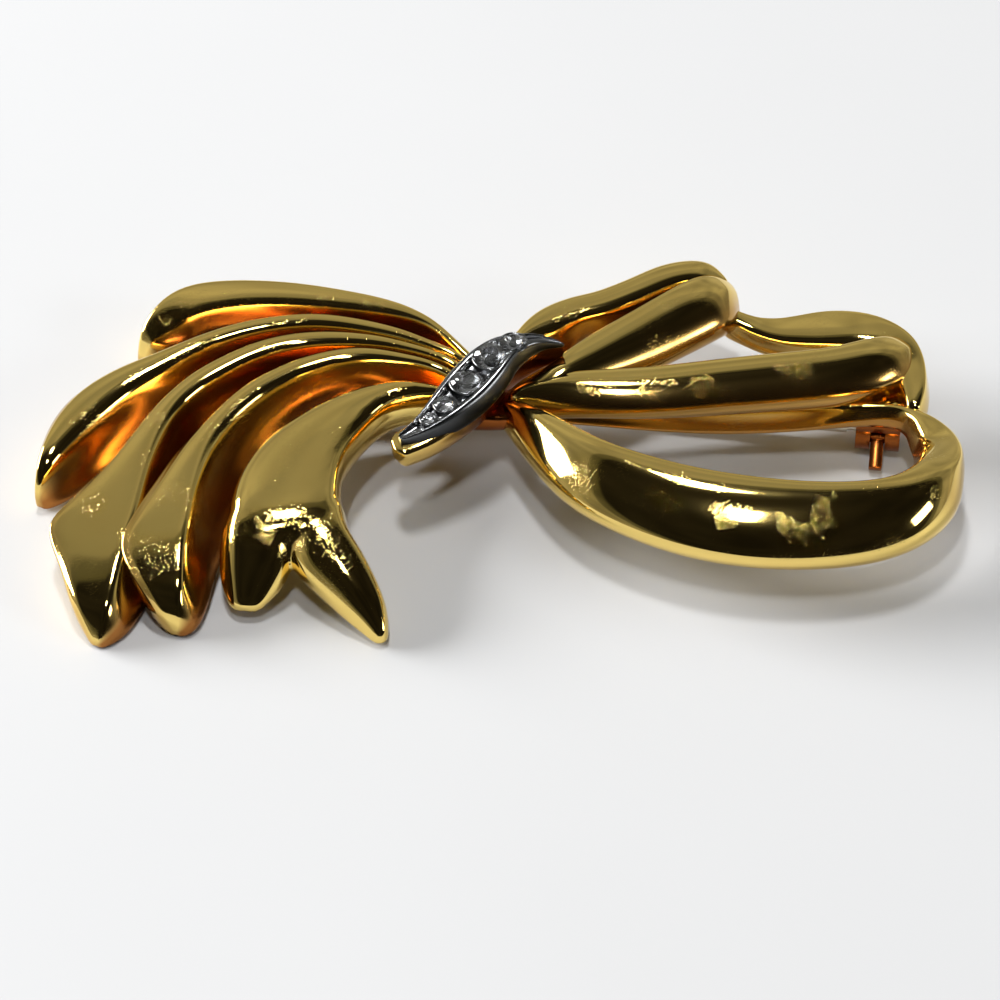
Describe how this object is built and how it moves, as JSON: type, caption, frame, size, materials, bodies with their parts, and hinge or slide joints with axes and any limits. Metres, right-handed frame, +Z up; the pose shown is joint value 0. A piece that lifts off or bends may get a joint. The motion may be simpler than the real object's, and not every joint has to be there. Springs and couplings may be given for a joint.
{
  "type": "bow brooch",
  "caption": "Gold-tone bow brooch with fluted ribbon tails, three open loops, a dark set plate of clear stones over the knot, and a hinged pin with a roller catch.",
  "frame": {"origin": "on the surface the brooch lies on, under the middle of the bow's length and depth", "axes": "+X from the tails to the loops, -Y towards the front tails and the viewer, +Z up out of the face"},
  "size_m": [0.0596, 0.0299, 0.0088],
  "materials": {
    "gold_tone": "polished yellow gold tone, warmer and darker in the grooves",
    "dark_plate": "polished dark grey, with worn bright edges",
    "clear_stone": "clear, faceted",
    "pin_steel": "bright drawn wire"
  },
  "bodies": {
    "brooch": {"bow_casting": "gold_tone", "knot_plate": "dark_plate", "stone_1": "clear_stone", "stone_2": "clear_stone", "stone_3": "clear_stone", "stone_4": "clear_stone", "stone_5": "clear_stone", "pin_hinge": "gold_tone", "hinge_rivet": "gold_tone", "pin_catch": "gold_tone"},
    "pin": {"pin_stem": "pin_steel"},
    "lever": {"catch_lever": "gold_tone"}
  },
  "joints": [
    {"name": "pin_swing", "type": "hinge", "parent": "brooch", "child": "pin", "pos_m": [-0.00622, 0.00745, 0.0015], "axis": [0.1219, 0.9925, 0], "range_deg": [0, 100]},
    {"name": "lever_roll", "type": "hinge", "parent": "brooch", "child": "lever", "pos_m": [0.02475, 0.00364, 0.0015], "axis": [0.9925, -0.1219, 0], "range_deg": [0, 120]}
  ]
}
